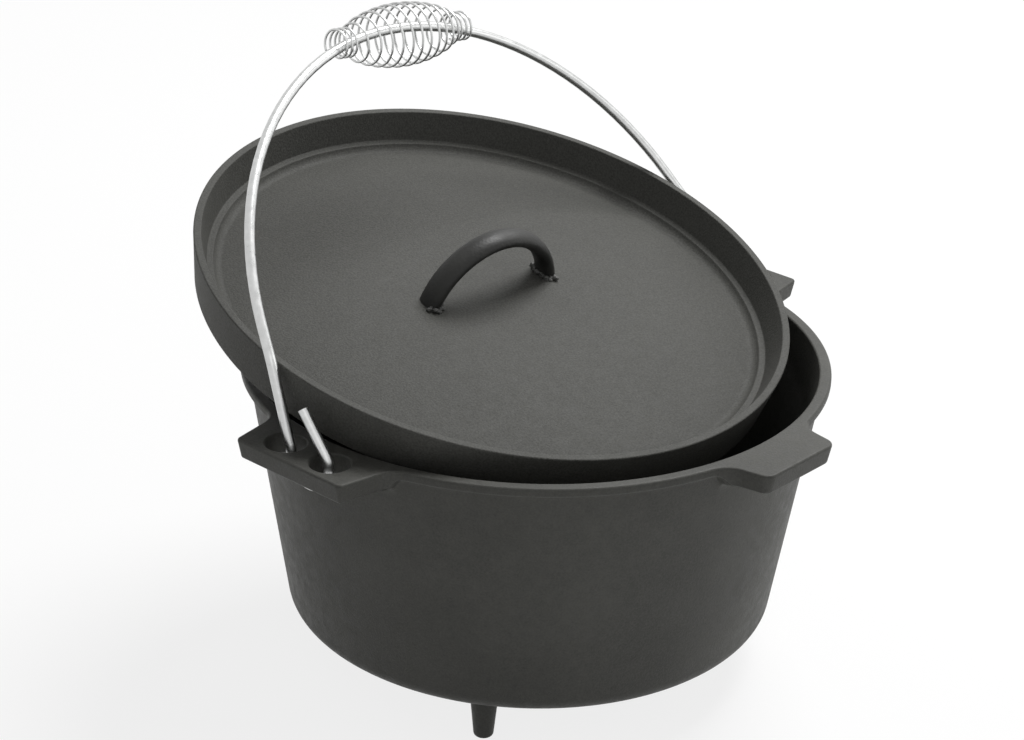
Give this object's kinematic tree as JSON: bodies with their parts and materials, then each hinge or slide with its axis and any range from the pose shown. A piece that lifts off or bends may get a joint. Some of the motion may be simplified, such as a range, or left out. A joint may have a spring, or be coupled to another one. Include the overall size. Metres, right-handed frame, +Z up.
{
  "type": "camp dutch oven",
  "caption": "Cast iron camp dutch oven on short feet, with a flanged coal lid set ajar and a wire bail with a coil grip, for cooking over embers.",
  "frame": {"origin": "centre of the kettle's flat underside", "axes": "+X through the two bail ears, +Y towards the raised side of the lid, +Z up along the kettle's axis"},
  "size_m": [0.371, 0.374, 0.3403],
  "materials": {
    "casting": "seasoned black, fine cast grain",
    "handle": "semi-gloss black",
    "wire": "bright zinc"
  },
  "bodies": {
    "kettle": {"pot": "casting"},
    "lid": {"lid": "casting", "lid_handle": "handle", "handle_weld_left": "handle", "handle_weld_right": "handle"},
    "bail": {"bail": "wire"},
    "grip": {"coil_grip": "wire"}
  },
  "joints": [
    {"name": "bail_swing", "type": "hinge", "parent": "kettle", "child": "bail", "pos_m": [0, 0, 0.14025], "axis": [1, 0, 0], "range_deg": [0, 80]},
    {"name": "lid_lift", "type": "slide", "parent": "kettle", "child": "lid", "axis": [0, 0.9664, 0.2571], "range_m": [0, 0.34]},
    {"name": "grip_spin", "type": "hinge", "parent": "bail", "child": "grip", "pos_m": [0.01897, 0.12372, 0.293], "axis": [0.9944, -0.0262, -0.1019], "continuous": true}
  ]
}
